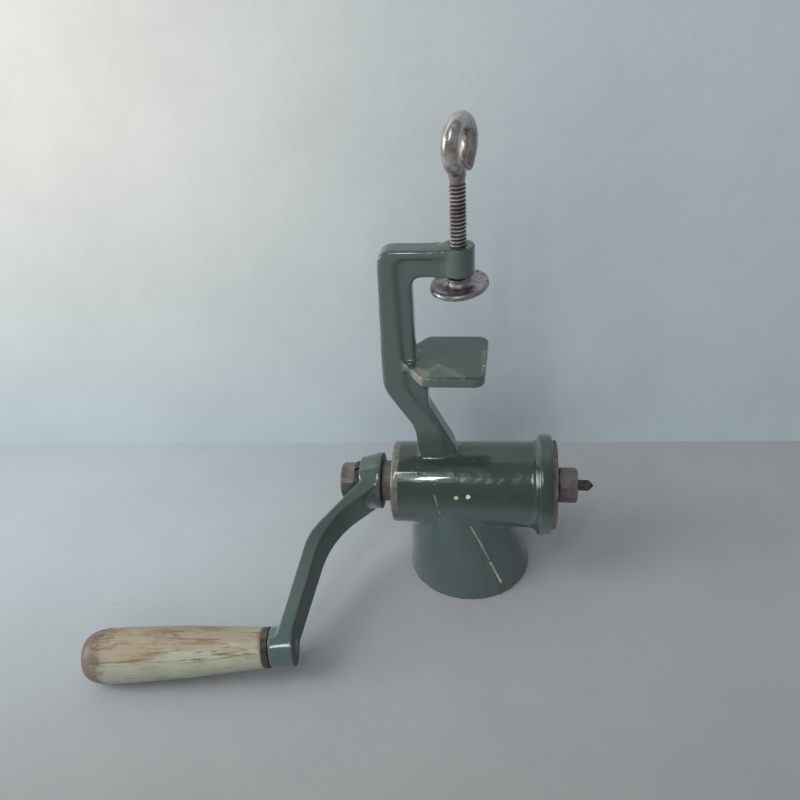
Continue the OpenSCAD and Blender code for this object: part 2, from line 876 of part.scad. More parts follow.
// Pin riveted in the crank's boss, with a flat head at the grip's free end
module grip_spindle() {
    head_r = spindle_r * 1.5;
    head_h = 1.8;
    rivet = 0.8;
    end = grip_start + grip_len - 1.4 - head_h;
    back = -grip_boss_len - face_gap / 2;
    color(STEEL)
        grip_frame()
            rotate_extrude()
                polygon([
                    [0, back - rivet],
                    [spindle_r, back - rivet],
                    [spindle_r * 1.35, back - rivet * 0.6],
                    [spindle_r * 1.45, back],
                    [spindle_r, back],
                    [spindle_r, end],
                    [head_r, end],
                    [head_r, end + head_h / 2],
                    [head_r * 0.8, end + head_h],
                    [0, end + head_h]
                ]);
}

module grip_washer() {
    color(DARK)
        grip_frame()
            translate([0, 0, grip_gap])
                ring(grip_r_neck - 0.2, spindle_r + 2 * run_fit, grip_washer_t);
}

module grip_end_washer() {
    thick = 1;
    color(DARK)
        grip_frame()
            translate([0, 0, grip_start + grip_len - 1.4 - 1.8 - thick - face_gap / 2])
                ring(grip_r_end - 3.2, spindle_r + 2 * run_fit, thick);
}

// Turned grip: a long swell, a round free end and a counterbore for the pin's head
module wooden_grip() {
    pocket = 1.4 + 1.8 + 1 + face_gap;
    round_len = grip_len - grip_belly;
    color(WOOD)
        grip_frame()
            translate([0, 0, grip_start])
                difference() {
                    rotate_extrude()
                        polygon([
                            [0, 0],
                            [grip_r_neck - 0.8, 0],
                            [grip_r_neck, 1],
                            for (i = [1:12]) [
                                grip_r_neck + (grip_r_belly - grip_r_neck) * sin(90 * i / 12),
                                1 + (grip_belly - 1) * i / 12
                            ],
                            for (i = [1:8]) [
                                grip_r_end + (grip_r_belly - grip_r_end) * cos(90 * i / 8),
                                grip_belly + round_len * sin(90 * i / 8)
                            ],
                            [0, grip_len]
                        ]);
                    translate([0, 0, -1])
                        cylinder(h = grip_len + 2, r = spindle_r + run_fit);
                    translate([0, 0, grip_len - pocket])
                        cylinder(h = pocket + 1, r = grip_r_end - 3.2 + pass_gap);
                }
}

// Places along the eye's middle line: [across, up, direction of travel from the upright]
function eye_line() =
    let (
        low = eye_z0 - eye_blend,
        out = -eye_past,
        out_x = eye_shift + eye_r * cos(out),
        out_z = eye_z + eye_r * sin(out)
    )
    [
        for (i = [0:3]) [0, low + eye_blend * i / 4, 0],
        for (i = [0:8])
            let (a = eye_fi * i / 8)
            [eye_bend_r * (cos(a) - 1), eye_z0 + eye_bend_r * sin(a), a],
        for (i = [1:30])
            let (a = 180 + eye_fi - (180 + eye_fi + eye_past) * i / 30)
            [eye_shift + eye_r * cos(a), eye_z + eye_r * sin(a), a - 180],
        for (i = [1:3])
            [out_x - eye_tail * sin(eye_past) * i / 3, out_z - eye_tail * cos(eye_past) * i / 3, out - 180]
    ];

// Eye bent from the end of the clamp screw, open where its straight end comes back
module eye() {
    sides = 18;
    line = eye_line();
    last = len(line) - 1;
    function bar(i) =
        i < 4 ? eye_start_r + (eye_bar_r - eye_start_r) * i / 4
        : i == last ? eye_bar_r - 0.6
        : eye_bar_r;
    points = [
        for (i = [0:last])
            for (k = [0:sides - 1])
                let (
                    r = bar(i),
                    side = r * cos(360 * k / sides),
                    depth = r * sin(360 * k / sides)
                )
                [
                    line[i][0] + side * cos(line[i][2]),
                    depth,
                    line[i][1] + side * sin(line[i][2])
                ]
    ];
    faces = [
        [for (k = [0:sides - 1]) k],
        for (i = [0:last - 1])
            for (k = [0:sides - 1])
                let (a = sides * i + k, b = sides * i + (k + 1) % sides)
                each [[a, a + sides, b], [b, a + sides, b + sides]],
        [for (k = [sides - 1:-1:0]) sides * last + k]
    ];
    polyhedron(points, faces);
}

module clamp_screw() {
    stem_hole = 6;
    color(STEEL)
        translate([screw_x, 0, 0])
            difference() {
                union() {
                    translate([0, 0, screw_end_z])
                        cylinder(h = thread_top - screw_end_z, r = thread_r);
                    translate([0, 0, thread_top])
                        cylinder(h = eye_z0 - eye_blend + 1 - thread_top, r = neck_r);
                    rotate([0, 0, eye_turn])
                        eye();
                }
                translate([0, 0, screw_end_z - 1])
                    cylinder(h = stem_hole + 1, r = stem_r + run_fit);
            }
}

// Ball and stem that the pad hangs on, set in the end of the clamp screw
module pad_ball() {
    color(STEEL)
        translate([screw_x, 0, ball_z]) {
            sphere(r = ball_r);
            cylinder(h = screw_end_z - ball_z + 5.5, r = stem_r);
        }
}

// Dished pad that leans on the ball
module swivel_pad() {
    seat_r = ball_r + 3 * run_fit;
    throat = (seat_r + stem_r) / 2 + 0.1;
    throat_z = sqrt(seat_r * seat_r - throat * throat);
    dish = pad_r - pad_neck_r - 2.2;
    rim_z = pad_rim - pad_seat;
    color(DARK)
        translate([screw_x, 0, ball_z])
            rotate(a = pad_tilt, v = [cos(pad_tilt_turn), sin(pad_tilt_turn), 0])
                rotate_extrude()
                    polygon([
                        [seat_r + 0.3, -pad_seat],
                        [pad_r - 0.6, -pad_seat],
                        [pad_r, -pad_seat + 0.6],
                        [pad_r, rim_z - 0.8],
                        [pad_r - 0.8, rim_z],
                        [pad_r - 2.2, rim_z],
                        for (i = [1:6]) [
                            pad_neck_r + dish * (1 - sin(15 * i)),
                            rim_z - 0.9 * sin(30 * i) + (pad_neck - 0.9 - rim_z) * (1 - cos(15 * i))
                        ],
                        [pad_neck_r, pad_neck - 0.5],
                        [pad_neck_r - 0.5, pad_neck],
                        [throat + 0.5, pad_neck],
                        for (i = [0:4])
                            let (a = atan2(throat_z, throat) * (1 - i / 4))
                            [seat_r * cos(a), seat_r * sin(a)],
                        [seat_r + 0.3, -0.6]
                    ]);
}

body_casting();
rear_bush();
thrust_washer();
perforated_plate();
plate_key();
feed_screw();
outlet_stud();
knife();
end_nut();
nut_washer();
crank_arm();
crank_bolt();
lock_washer();
grip_spindle();
grip_washer();
grip_end_washer();
wooden_grip();
clamp_screw();
pad_ball();
swivel_pad();
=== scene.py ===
"""Looks of the hand-cranked meat grinder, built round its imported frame.

Everything is in metres in the frame's axes: X along the barrel towards the outlet,
Z up from the hopper's mouth, Y away from the crank's resting side.
"""
import math

import bpy
import numpy as np
from mathutils import Matrix, Vector


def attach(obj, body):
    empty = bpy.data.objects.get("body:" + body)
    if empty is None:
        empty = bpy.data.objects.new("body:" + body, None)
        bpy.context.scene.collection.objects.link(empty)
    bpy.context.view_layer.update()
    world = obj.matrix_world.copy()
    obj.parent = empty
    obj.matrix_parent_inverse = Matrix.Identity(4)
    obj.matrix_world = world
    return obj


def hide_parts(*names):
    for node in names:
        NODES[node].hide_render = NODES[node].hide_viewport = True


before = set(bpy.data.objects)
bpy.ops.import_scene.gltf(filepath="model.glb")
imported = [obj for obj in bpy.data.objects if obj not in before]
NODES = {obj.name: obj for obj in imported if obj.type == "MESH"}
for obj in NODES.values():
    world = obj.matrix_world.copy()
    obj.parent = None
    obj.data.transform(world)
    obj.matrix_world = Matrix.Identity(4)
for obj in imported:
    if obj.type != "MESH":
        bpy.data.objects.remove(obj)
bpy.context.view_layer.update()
MM = 0.001

scene = bpy.context.scene
scene.view_settings.view_transform = "Standard"

# The camera, as fitted to the photo: place, and pitch, roll and yaw in degrees
CAMERA_PLACE = Vector((17.0, -383.7, 374.4)) * MM
CAMERA_TURNS = (33.06, 3.72, 8.16)
FOCAL_LENGTH = SENSOR_WIDTH = 36

# Barrel and hopper
AXIS_Z = 62.3 * MM
BORE_R = 0.0243
RECESS_R = 0.0275
FLANGE_X = 0.046
HOPPER_LEAN = math.atan(10 / 62.3)
HOPPER_MOUTH_R = 0.0375
HOPPER_TAPER = 0.0135 / 0.0631
HOPPER_WALL = 0.0025
HOPPER_TOP = 0.062
RIM_TOP = 0.0015

# Clamp arm: its upright and the bar that carries the screw's boss
ARM_LOW = 0.1
ARM_X = -0.015
UPRIGHT_X = -0.0285
UPRIGHT_LOW, UPRIGHT_TOP = 0.118, 0.206
BAR_X = -0.016
BAR_LOW = 0.2
JAW_CLEAR_X = -0.03
JAW_CLEAR_Z = 0.156
BOSS_LOW = 0.19
BOSS_BORE_R = 0.006

# Crank: its hub
HUB_BORE_R = 0.0122
HUB_X = -0.071

# Clamp screw with its thread and its bent eye
SCREW_X = -3 * MM
THREAD_R = 4.3 * MM
THREAD_ROOT_R = THREAD_R - 1.05 * MM
THREAD_LOW = 201.1 * MM
THREAD_TOP = 249.0 * MM
THREAD_LEAD = 2.0 * MM
NECK_R = 3.8 * MM
BAR_R = 4.4 * MM
EYE_R = 11 * MM
EYE_Z = 266.6 * MM
EYE_SHIFT = 3.3 * MM
EYE_BEND_R = 5 * MM
EYE_PAST = math.radians(35)
EYE_TAIL = 8 * MM
EYE_TURN = math.radians(68)

# Grip: its pin's foot and direction, then its profile
GRIP_FOOT = Vector((-105.5, -96.29576, 19.2027)) * MM
GRIP_AXIS = Vector((-0.99470282, -0.0938245, -0.04199129)).normalized()
GRIP_START = 3.75 * MM
GRIP_LEN = 101.5 * MM
GRIP_BELLY = 88 * MM
GRIP_NECK_R = 11.2 * MM
GRIP_BELLY_R = 15.3 * MM
GRIP_END_R = 9.0 * MM
GRIP_EDGE = 1 * MM
DENT = 0.10 * MM

# Room: the wall's foot runs from WALL_A to WALL_B
FLOOR_REACH = 3.0
WALL_A, WALL_B = Vector((-2.0, 0.0455, 0)), Vector((2.0, 0.2075, 0))
WALL_RISE = Vector((0, 0, 2.6))
WORLD_COLOUR = (0.55, 0.57, 0.60, 1)
WORLD_LIGHT = 0.29
WORLD_SEEN = 0.40


def mm(*p):
    return tuple(c * MM for c in p)


def srgb(r, g, b):
    def lin(c):
        c /= 255
        return c / 12.92 if c <= 0.04045 else ((c + 0.055) / 1.055) ** 2.4
    return (lin(r), lin(g), lin(b), 1)


# ---------------------------------------------------------------- camera and lamps
def place_camera():
    pitch, roll, yaw = (math.radians(a) for a in CAMERA_TURNS)
    level = Vector((-math.sin(yaw), math.cos(yaw), 0))
    right = Vector((math.cos(yaw), math.sin(yaw), 0))
    ahead = level * math.cos(pitch) - Vector((0, 0, math.sin(pitch)))
    up = right.cross(ahead)
    rolled_right = right * math.cos(roll) - up * math.sin(roll)
    rolled_up = right * math.sin(roll) + up * math.cos(roll)
    cam = bpy.data.cameras.new("camera")
    cam.lens = FOCAL_LENGTH
    cam.sensor_width = SENSOR_WIDTH
    cam.clip_start = 0.01
    cam.clip_end = 20
    obj = bpy.data.objects.new("camera", cam)
    scene.collection.objects.link(obj)
    place = Matrix((rolled_right, rolled_up, -ahead)).transposed().to_4x4()
    place.translation = CAMERA_PLACE
    obj.matrix_world = place
    scene.camera = obj


def area_light(name, at, towards, size, power, colour, seen=True):
    data = bpy.data.lights.new(name, "AREA")
    data.shape = "RECTANGLE"
    data.size, data.size_y = size
    data.energy = power
    data.color = colour
    obj = bpy.data.objects.new(name, data)
    scene.collection.objects.link(obj)
    obj.location = at
    aim = Vector(towards) - Vector(at)
    obj.rotation_euler = aim.to_track_quat("-Z", "Y").to_euler()
    obj.visible_glossy = seen


# ---------------------------------------------------------------- node helpers
class Net:
    """Short names for building a node material."""

    def __init__(self, name):
        self.mat = bpy.data.materials.new(name)
        self.mat.use_nodes = True
        self.tree = self.mat.node_tree
        self.tree.nodes.clear()
        out = self.add("ShaderNodeOutputMaterial")
        self.shader = self.add("ShaderNodeBsdfPrincipled")
        self.tree.links.new(self.shader.outputs[0], out.inputs["Surface"])
        self.coord = self.add("ShaderNodeTexCoord").outputs["Object"]

    def add(self, kind, **sets):
        n = self.tree.nodes.new(kind)
        for key, value in sets.items():
            setattr(n, key, value)
        return n

    def put(self, socket, value):
        if isinstance(value, bpy.types.NodeSocket):
            self.tree.links.new(value, socket)
        else:
            socket.default_value = value

    def noise(self, scale, detail=4, rough=0.55, at=None, distort=0.0):
        n = self.add("ShaderNodeTexNoise")
        n.inputs["Scale"].default_value = scale
        n.inputs["Detail"].default_value = detail
        n.inputs["Roughness"].default_value = rough
        n.inputs["Distortion"].default_value = distort
        self.tree.links.new(at or self.coord, n.inputs["Vector"])
        return n.outputs["Fac"]

    def stretch(self, scales, at=None):
        n = self.add("ShaderNodeMapping")
        n.inputs["Scale"].default_value = scales
        self.tree.links.new(at or self.coord, n.inputs["Vector"])
        return n.outputs[0]

    def ramp(self, fac, low, high, a=0.0, b=1.0):
        """Smooth step from a, at low and below, to b, at high and above."""
        n = self.add("ShaderNodeMapRange", interpolation_type="SMOOTHSTEP")
        self.put(n.inputs["Value"], fac)
        n.inputs["From Min"].default_value = low
        n.inputs["From Max"].default_value = high
        n.inputs["To Min"].default_value = a
        n.inputs["To Max"].default_value = b
        return n.outputs["Result"]

    def math(self, op, a, b=0.0):
        n = self.add("ShaderNodeMath", operation=op)
        self.put(n.inputs[0], a)
        self.put(n.inputs[1], b)
        return n.outputs[0]

    def times(self, a, b):
        return self.math("MULTIPLY", a, b)

    def plus(self, a, b):
        return self.math("ADD", a, b)

    def around(self, value, amount):
        """A noise's departure from its middle, times amount."""
        return self.times(self.math("SUBTRACT", value, 0.5), amount)

    def vmath(self, op, a, b=(0, 0, 0), out="Vector"):
        n = self.add("ShaderNodeVectorMath", operation=op)
        self.put(n.inputs[0], a)
        self.put(n.inputs[1], b)
        return n.outputs[out]

    def mix(self, fac, a, b):
        n = self.add("ShaderNodeMix", data_type="RGBA")
        self.put(n.inputs[0], fac)
        self.put(n.inputs[6], a)
        self.put(n.inputs[7], b)
        return n.outputs[2]

    def mixf(self, fac, a, b):
        n = self.add("ShaderNodeMix", data_type="FLOAT")
        self.put(n.inputs[0], fac)
        self.put(n.inputs[2], a)
        self.put(n.inputs[3], b)
        return n.outputs[0]

    def bump(self, height, distance, strength, normal=None):
        n = self.add("ShaderNodeBump")
        n.inputs["Strength"].default_value = strength
        n.inputs["Distance"].default_value = distance
        self.put(n.inputs["Height"], height)
        if normal is not None:
            self.put(n.inputs["Normal"], normal)
        return n.outputs[0]

    def split(self, at=None):
        n = self.add("ShaderNodeSeparateXYZ")
        self.tree.links.new(at or self.coord, n.inputs[0])
        return n.outputs

    def geometry(self, out):
        return self.add("ShaderNodeNewGeometry").outputs[out]

    def radius(self, a, b):
        """Length of the flat vector (a, b)."""
        return self.math("SQRT", self.plus(self.times(a, a), self.times(b, b)))

    def ball(self, centre, radius, soft):
        """1 inside a ball, falling to 0 at its edge."""
        d = self.vmath("DISTANCE", self.coord, centre, out="Value")
        return self.ramp(d, radius * (1 - soft), radius * (1 + soft), 1, 0)

    def capsule(self, a, b, radius, soft):
        """1 near the line from a to b."""
        a, b = Vector(a), Vector(b)
        run = b - a
        rel = self.vmath("SUBTRACT", self.coord, tuple(a))
        along = self.vmath("DOT_PRODUCT", rel, tuple(run), out="Value")
        t = self.math("DIVIDE", along, run.length_squared)
        t = self.math("MINIMUM", self.math("MAXIMUM", t, 0.0), 1.0)
        n = self.add("ShaderNodeVectorMath", operation="SCALE")
        n.inputs[0].default_value = tuple(run)
        self.put(n.inputs["Scale"], t)
        d = self.vmath("DISTANCE", rel, n.outputs[0], out="Value")
        return self.ramp(d, radius * (1 - soft), radius * (1 + soft), 1, 0)

    def set(self, **values):
        for key, value in values.items():
            self.put(self.shader.inputs[key.replace("_", " ")], value)


# ---------------------------------------------------------------- enamel
def painted_light_on_body(m, colour):
    """Painted light on the body: painted shade darkening the barrel, a painted sheen lightening the arm's
    upright faces and the hopper, and painted shade on the clamp's upward faces.
    """
    z = m.split()[2]
    slope = m.math("ABSOLUTE", m.split(m.geometry("Normal"))[2])
    on_clamp = m.ramp(z, 0.094, 0.112)
    # Painted shade: the barrel is darkened where it mirrors the dark room
    barrel = m.times(m.ramp(z, 0.062, 0.070), m.ramp(z, 0.084, 0.092, 0.6, 0))
    # Painted sheen: the clamp's upright faces are made paler
    upright = m.times(on_clamp, m.ramp(slope, 0.3, 0.6, 0.9, 0))
    # Painted sheen: the hopper and the lowest part of barrel and flange are made paler
    hopper = m.ramp(z, 0.059, 0.067, 0.75, 0)
    # Painted shade: the clamp's upward-facing faces are darkened
    flat = m.times(on_clamp, m.ramp(slope, 0.6, 0.9, 0, 0.4))
    colour = m.mix(barrel, colour, srgb(34, 46, 36))
    colour = m.mix(upright, colour, srgb(79, 95, 92))
    colour = m.mix(hopper, colour, srgb(75, 91, 90))
    return m.mix(flat, colour, srgb(38, 50, 43))


def bare_metal(m, colour, rough):
    """Bare iron on the barrel's rear ring and in its bore."""
    x, y, z = m.split()
    radial = m.radius(y, m.math("SUBTRACT", z, AXIS_Z))
    wavy = m.around(m.noise(140, 3), 0.0012)
    ring = m.ramp(m.plus(x, wavy), -0.0406, -0.0396, 1, 0)
    ring = m.times(ring, m.ramp(radial, 0.0262, 0.0270, 1, 0))
    bare = m.mix(m.ramp(m.noise(300, 5, 0.7), 0.35, 0.7), srgb(134, 130, 122), srgb(98, 90, 84))
    colour = m.mix(ring, colour, bare)
    rough = m.mixf(ring, rough, 0.5)
    bore = m.times(m.ramp(radial, 0.0245, 0.0247, 1, 0), m.ramp(x, -0.0355, -0.035, 0, 1))
    colour = m.mix(bore, colour, srgb(88, 82, 76))
    rough = m.mixf(bore, rough, 0.45)
    return colour, rough, m.times(ring, 0.55)


def enamel(name, body=False, chips_and_highlights=(), scuffs_and_highlights=()):
    """Glossy green enamel with worn edges. The crank's is dull on the faces towards the outlet."""
    m = Net(name)
    colour = m.mix(m.ramp(m.noise(28, 3), 0.35, 0.65), srgb(49, 64, 58), srgb(60, 76, 70))
    colour = m.mix(m.ramp(m.noise(16, 2), 0.45, 0.7, 0, 0.45), colour, srgb(54, 63, 48))
    colour = m.mix(m.ramp(m.noise(420, 3), 0.55, 0.8, 0, 0.3), colour, srgb(64, 74, 62))
    if body:
        colour = painted_light_on_body(m, colour)
    else:
        # Painted sheen: the crank is made paler bluish grey, most towards its low end
        colour = m.mix(m.ramp(m.split()[2], 0.045, 0.058, 0.6, 0.25), colour, srgb(84, 100, 98))
    rough = m.mixf(m.ramp(m.noise(90, 4), 0.4, 0.7), 0.16, 0.28)
    edge = m.geometry("Pointiness")
    worn = m.times(m.ramp(edge, 0.53, 0.58), m.ramp(m.noise(160, 5, 0.7), 0.5, 0.62))
    colour = m.mix(m.times(worn, 0.5), colour, srgb(128, 122, 106))
    rough = m.mixf(worn, rough, 0.42)
    # Real chips, and painted highlights drawn as small spots
    for spot, radius, tone in chips_and_highlights:
        ragged = m.around(m.noise(700, 3), 1.8)
        mask = m.ramp(m.plus(m.ball(spot, radius, 0.35), ragged), 0.4, 0.6)
        colour = m.mix(mask, colour, tone)
        rough = m.mixf(mask, rough, 0.55)
    # Seam and wear marks, and a painted highlight drawn as a streak
    for a, b, radius, tone, amount in scuffs_and_highlights:
        ragged = m.around(m.noise(350, 5, 0.7), 1.4)
        mask = m.ramp(m.plus(m.capsule(a, b, radius, 0.75), ragged), 0.35, 1.0, 0, amount)
        colour = m.mix(mask, colour, tone)
        rough = m.mixf(mask, rough, 0.5)
    if body:
        colour, rough, metal = bare_metal(m, colour, rough)
        gloss = 1.0
    else:
        grime = m.ramp(m.split(m.geometry("Normal"))[0], 0.45, 0.8)
        colour = m.mix(m.times(grime, 0.6), colour, srgb(74, 88, 84))
        rough = m.mixf(grime, rough, 0.62)
        gloss = m.math("SUBTRACT", 1.0, m.times(grime, 0.85))
        metal = 0.0
    waves = m.plus(m.noise(55, 2), m.times(m.noise(170, 2), 0.28))
    normal = m.bump(waves, 0.0012, 0.55)
    normal = m.bump(m.noise(900, 2), 0.00004, 0.3, normal)
    m.set(
        Base_Color=colour,
        Roughness=rough,
        Metallic=metal,
        Normal=normal,
        Coat_Weight=gloss,
        Coat_Roughness=0.03,
    )
    return m.mat


# ---------------------------------------------------------------- metals, fibre and wood
def iron(name, light, dark, rust, rust_amount, rough=(0.32, 0.6), metallic=0.85, threaded=False):
    """Bare or rusted metal with patches of rust and a fine grain."""
    m = Net(name)
    tone = m.ramp(m.noise(130, 6, 0.65), 0.3, 0.7)
    colour = m.mix(tone, dark, light)
    rusted = m.ramp(m.noise(260, 8, 0.7), 0.62 - 0.3 * rust_amount, 0.74 - 0.25 * rust_amount)
    colour = m.mix(m.times(rusted, 0.9), colour, rust)
    r = m.mixf(tone, rough[1], rough[0])
    r = m.mixf(rusted, r, 0.8)
    metal = m.mixf(rusted, metallic, 0.15)
    if threaded:
        # Dirt in the grooves of the clamp screw
        x, y, z = m.split()
        radial = m.radius(m.math("SUBTRACT", x, SCREW_X), y)
        groove = m.ramp(radial, THREAD_R - 0.0009, THREAD_R - 0.0001, 1, 0.25)
        groove = m.times(groove, m.ramp(z, THREAD_TOP - 0.0005, THREAD_TOP + 0.001, 1, 0))
        colour = m.mix(groove, colour, srgb(54, 46, 46))
        r = m.mixf(groove, r, 0.7)
        metal = m.mixf(groove, metal, 0.2)
    normal = m.bump(m.plus(m.noise(700, 5, 0.7), m.times(rusted, 0.6)), 0.00006, 0.8)
    m.set(Base_Color=colour, Roughness=r, Metallic=metal, Normal=normal)
    return m.mat


def fibre():
    m = Net("fibre")
    weave = m.noise(300, 6, 0.6, at=m.stretch((1, 1, 3)))
    m.set(
        Base_Color=m.mix(m.ramp(weave, 0.35, 0.7), srgb(70, 40, 28), srgb(112, 66, 44)),
        Roughness=0.7,
        Normal=m.bump(weave, 0.0001, 0.5),
    )
    return m.mat


def painted_wood(foot, axis, top):
    """Old cream-green paint over brown wood, in the grip's own directions: along, side and lift."""
    m = Net("painted_wood")
    rel = m.vmath("SUBTRACT", m.coord, tuple(foot))
    t = m.vmath("DOT_PRODUCT", rel, tuple(axis), out="Value")
    along = m.math("DIVIDE", t, GRIP_LEN)
    lift = m.vmath("DOT_PRODUCT", rel, tuple(top), out="Value")
    side = m.vmath("DOT_PRODUCT", rel, tuple(axis.cross(top).normalized()), out="Value")
    joined = m.add("ShaderNodeCombineXYZ")
    for socket, value in zip(joined.inputs, (t, side, lift)):
        m.put(socket, value)
    at = joined.outputs[0]
    grain = m.noise(900, 6, 0.65, at=m.stretch((0.09, 1, 1), at))
    broad = m.noise(160, 4, 0.6, at=m.stretch((0.16, 1, 1), at))
    flake = m.noise(170, 7, 0.72, at=m.stretch((0.45, 1, 1), at))
    streak = m.noise(520, 5, 0.7, at=m.stretch((0.05, 1, 1), at))
    crack = m.noise(240, 3, 0.5, at=m.stretch((0.05, 1, 1), at), distort=0.6)

    wood = m.mix(m.ramp(grain, 0.35, 0.68), srgb(126, 100, 80), srgb(166, 142, 120))
    wood = m.mix(m.ramp(broad, 0.4, 0.7, 0, 0.6), wood, srgb(148, 124, 103))

    # Paint: thin and brown on the upper side, with dark streaks there
    paint = m.mix(m.ramp(m.noise(60, 3, at=at), 0.3, 0.7), srgb(154, 156, 138), srgb(170, 171, 152))
    paint = m.mix(m.ramp(grain, 0.5, 0.75, 0, 0.35), paint, srgb(138, 130, 106))
    thin = m.ramp(m.plus(lift, m.around(broad, 0.016)), 0.0075, 0.0112, 0, 0.85)
    paint = m.mix(thin, paint, srgb(152, 138, 117))
    zone = m.times(m.ramp(lift, 0.003, 0.008), m.ramp(m.noise(38, 3, at=at), 0.38, 0.5))
    paint = m.mix(m.times(m.ramp(streak, 0.5, 0.62, 0, 0.8), zone), paint, srgb(116, 90, 64))

    # Where the paint is gone: along the top, at both ends, and in flakes and cracks
    crest = m.ramp(lift, 0.0075, 0.0145, 0, 0.42)
    near = m.ramp(along, 0.0, 0.07, 0.36, 0)
    far = m.ramp(along, 0.95, 1.0, 0, 0.7)
    gone = m.plus(m.plus(m.plus(crest, near), far), m.around(flake, 1.5))
    gone = m.ramp(gone, 0.40, 0.62)
    crack = m.ramp(m.math("ABSOLUTE", m.math("SUBTRACT", crack, 0.5)), 0.001, 0.011, 1, 0)
    crack = m.times(crack, m.ramp(m.noise(75, 3, at=at), 0.53, 0.62))
    colour = m.mix(m.times(gone, 0.85), paint, wood)
    colour = m.mix(m.times(crack, 0.65), colour, srgb(84, 64, 48))

    # Brown far end, then grime
    rim = m.ramp(m.plus(along, m.around(flake, 0.3)), 0.85, 0.92, 0, 0.9)
    colour = m.mix(rim, colour, srgb(104, 90, 78))
    grime = m.ramp(m.noise(95, 6, 0.7, at=at), 0.5, 0.75, 0, 0.28)
    colour = m.mix(grime, colour, srgb(112, 98, 74))
    height = m.math("SUBTRACT", m.times(grain, 0.25), m.plus(gone, crack))
    m.set(
        Base_Color=colour,
        Roughness=m.mixf(gone, 0.42, 0.68),
        Normal=m.bump(height, 0.00035, 0.8),
        Specular_IOR_Level=0.4,
    )
    return m.mat


# ---------------------------------------------------------------- cast pieces
SMOOTH = 0.5       # share of the way to the neighbours' middle that a vertex moves in a round
SETTLE = 0.4
SETTLE_ROUNDS = 3
ARM_ROUNDS = 22
HOLLOW_LIMIT = 0.035   # of a voxel: an inner corner from here on
CREST_LIMIT = -0.05    # of a voxel: an outer edge from here down


def new_object(name, mesh):
    obj = bpy.data.objects.new(name, mesh)
    scene.collection.objects.link(obj)
    return obj


def bake(obj):
    """Applies an object's modifiers to its mesh."""
    bpy.context.view_layer.update()
    deps = bpy.context.evaluated_depsgraph_get()
    mesh = bpy.data.meshes.new_from_object(obj.evaluated_get(deps))
    old = obj.data
    obj.modifiers.clear()
    obj.data = mesh
    bpy.data.meshes.remove(old)


def read(items, attribute, width, kind=float):
    values = np.empty(len(items) * width, dtype=kind)
    items.foreach_get(attribute, values)
    return values.reshape(-1, width)


def neighbours(edges, count):
    a, b = edges[:, 0], edges[:, 1]
    return a, b, np.maximum(np.bincount(a, minlength=count) + np.bincount(b, minlength=count), 1)


def spread(values, edges, count, rounds):
    """Averages values over the mesh's edges."""
    a, b, degree = neighbours(edges, count)
    for _ in range(rounds):
        values = (np.bincount(a, values[b], count) + np.bincount(b, values[a], count)) / degree
    return values


def laplace(co, edges, count):
    """From each vertex to the middle of its neighbours."""
    a, b, degree = neighbours(edges, count)
    out = np.empty_like(co)
    for k in range(3):
        out[:, k] = (np.bincount(a, co[b, k], count) + np.bincount(b, co[a, k], count)) / degree
    return out - co


def cast_copy(node, voxel, rounds, fillet_rounds, keep=None, soft=None):
    """Copy of a node with its edges rounded and its inner corners filled as in a casting.

    keep says where inner corners stay sharp, and soft where outer edges are rounded further.
    """
    obj = new_object("cast_" + node, NODES[node].data.copy())
    obj.data.materials.clear()
    mod = obj.modifiers.new("remesh", "REMESH")
    mod.mode = "VOXEL"
    mod.voxel_size = voxel
    bake(obj)
    mesh = obj.data
    co = read(mesh.vertices, "co", 3)
    edges = read(mesh.edges, "vertices", 2, np.int64)
    count = len(co)
    for _ in range(rounds):
        co = co + SMOOTH * laplace(co, edges, count)
    if fillet_rounds:
        mesh.vertices.foreach_set("co", co.ravel())
        mesh.update()
        hollow = np.einsum("ij,ij->i", laplace(co, edges, count), read(mesh.vertices, "normal", 3))
        if soft is not None:
            crest = ((hollow < CREST_LIMIT * voxel) & soft(co)).astype(float)
            crest = np.clip(spread(crest, edges, count, 6) * 3.0, 0, 1) * soft(co)
            for _ in range(ARM_ROUNDS):
                co = co + (SMOOTH * crest)[:, None] * laplace(co, edges, count)
        corner = (hollow > HOLLOW_LIMIT * voxel).astype(float)
        corner[keep(co)] = 0
        wide = np.clip(spread(corner, edges, count, 8) * 3.0, 0, 1)
        wide[keep(co)] = 0
        for _ in range(fillet_rounds):
            co = co + (SMOOTH * wide)[:, None] * laplace(co, edges, count)
        for _ in range(SETTLE_ROUNDS):
            co = co + SETTLE * laplace(co, edges, count)
    mesh.vertices.foreach_set("co", co.ravel())
    mesh.shade_smooth()
    mesh.update()
    return obj


def inside_casting(co):
    """Where the casting keeps its inner corners: machined and hollow places, upright and bar."""
    x, y, z = co[:, 0], co[:, 1], co[:, 2]
    radial = np.hypot(y, z - AXIS_Z)
    barrel = (radial < BORE_R) & (x > -FLANGE_X)
    recess = (radial < RECESS_R) & (x > FLANGE_X)
    axis = np.array([-math.sin(HOPPER_LEAN), 0, math.cos(HOPPER_LEAN)])
    height = co @ axis
    off_axis = np.linalg.norm(co - height[:, None] * axis, axis=1)
    wall = HOPPER_MOUTH_R - HOPPER_TAPER * height
    hopper = (off_axis < wall - HOPPER_WALL) & (height < HOPPER_TOP)
    rim = z < RIM_TOP
    bore = (np.hypot(x - SCREW_X, y) < BOSS_BORE_R) & (z > BOSS_LOW)
    upright = (x < UPRIGHT_X) & (z > UPRIGHT_LOW) & (z < UPRIGHT_TOP)
    bar = (x < BAR_X) & (z > BAR_LOW)
    return barrel | recess | hopper | rim | bore | upright | bar


